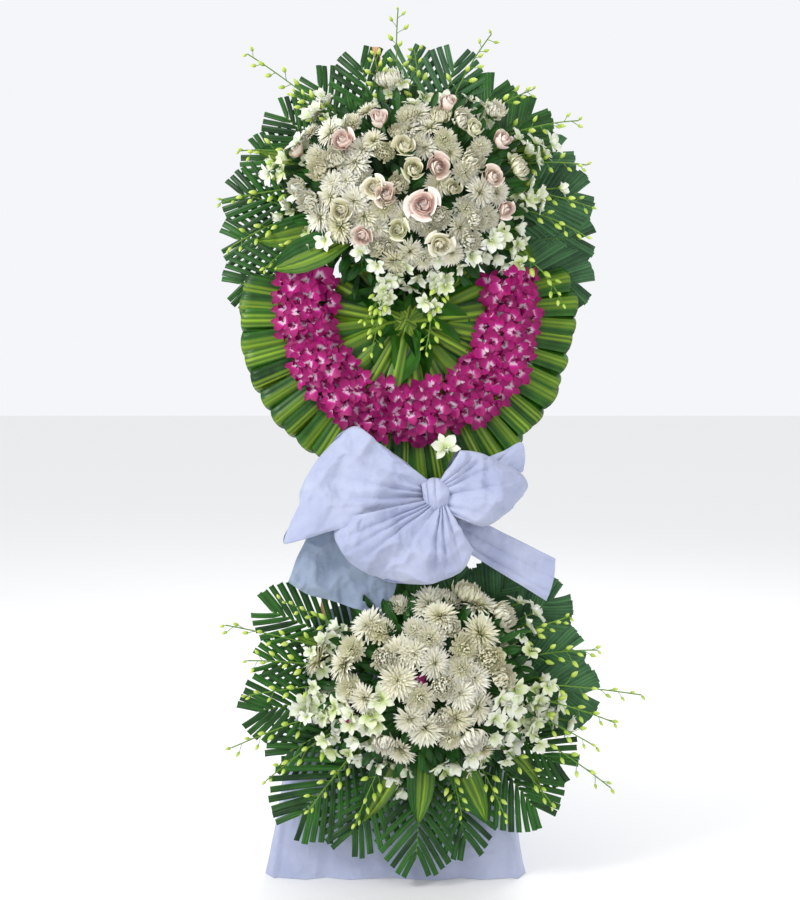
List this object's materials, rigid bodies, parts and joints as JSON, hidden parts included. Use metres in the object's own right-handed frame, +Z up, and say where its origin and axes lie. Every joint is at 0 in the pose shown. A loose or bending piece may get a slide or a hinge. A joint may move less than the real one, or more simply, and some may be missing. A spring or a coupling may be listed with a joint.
{
  "type": "funeral flower stand",
  "caption": "Free-standing funeral flower stand: a batten tripod with a wreath-like upper tier of fronds, orchids and a flower dome, a cloth bow, a lower spray and a cloth skirt.",
  "frame": {"origin": "on the floor, under the middle of the whole stand", "axes": "+Z up along the stand, -Y towards the viewer at the front, +X to the right as seen from the front"},
  "size_m": [0.8276, 0.6454, 1.7223],
  "materials": {
    "batten_wood": "planed and left bare",
    "tie_cord": "twisted natural cord",
    "skirt_cloth": "matt non-woven cloth with soft folds",
    "bow_cloth": "matt non-woven cloth, crumpled",
    "floral_foam": "open-cell, soaked",
    "palm_leaf": "satin, ribbed along the leaflet",
    "striped_leaf": "satin, striped along the blade",
    "purple_orchid": "velvety, white at the heart",
    "chrysanthemum": "matt petals",
    "rose": "soft satin petals",
    "orchid_stem": "satin, waxy"
  },
  "bodies": {
    "root": {"palm_frond_upper_1": "palm_leaf", "palm_frond_upper_2": "palm_leaf", "palm_frond_upper_3": "palm_leaf", "palm_frond_upper_4": "palm_leaf", "palm_frond_upper_5": "palm_leaf", "palm_frond_upper_6": "palm_leaf", "palm_frond_upper_7": "palm_leaf", "palm_frond_upper_8": "palm_leaf", "collar_leaves_right": "striped_leaf", "collar_leaves_bottom": "striped_leaf", "collar_leaves_left": "striped_leaf", "fan_leaves": "striped_leaf", "foam_bar_left": "floral_foam", "purple_orchids_left": "purple_orchid", "foam_bar_bottom": "floral_foam", "purple_orchids_bottom": "purple_orchid", "foam_bar_right": "floral_foam", "purple_orchids_right": "purple_orchid", "broad_leaf_upper_left": "striped_leaf", "broad_leaf_upper_right": "striped_leaf", "roses": "rose", "foam_upper": "floral_foam", "chrysanthemums_upper": "chrysanthemum", "orchid_spray_upper_top": "orchid_stem", "orchid_spray_upper_top_left": "orchid_stem", "orchid_spray_upper_top_right": "orchid_stem", "orchid_spray_upper_left": "orchid_stem", "orchid_spray_upper_right": "orchid_stem", "orchid_spray_upper_hanging": "orchid_stem", "foam_lower": "floral_foam", "chrysanthemums_lower": "chrysanthemum", "palm_frond_lower_left_high": "palm_leaf", "palm_frond_lower_left": "palm_leaf", "palm_frond_lower_left_low": "palm_leaf", "palm_frond_lower_front": "palm_leaf", "palm_frond_lower_right_low": "palm_leaf", "palm_frond_lower_right": "palm_leaf", "palm_frond_lower_right_high": "palm_leaf", "broad_leaf_lower_left": "striped_leaf", "broad_leaf_lower_right": "striped_leaf", "orchid_spray_lower_left_high": "orchid_stem", "orchid_spray_lower_left_low": "orchid_stem", "orchid_spray_lower_right": "orchid_stem", "orchid_spray_lower_right_low": "orchid_stem", "bow_knot": "bow_cloth", "bow_loop_left": "bow_cloth", "bow_loop_right": "bow_cloth", "bow_puff": "bow_cloth", "bow_tail_left": "bow_cloth", "bow_tail_right": "bow_cloth", "leg_front_left": "batten_wood", "leg_front_right": "batten_wood", "leg_back": "batten_wood", "rail_low": "batten_wood", "rail_high": "batten_wood", "stretcher": "batten_wood", "leg_tie": "tie_cord", "skirt_front": "skirt_cloth", "skirt_left": "skirt_cloth", "skirt_right": "skirt_cloth"}
  },
  "joints": []
}
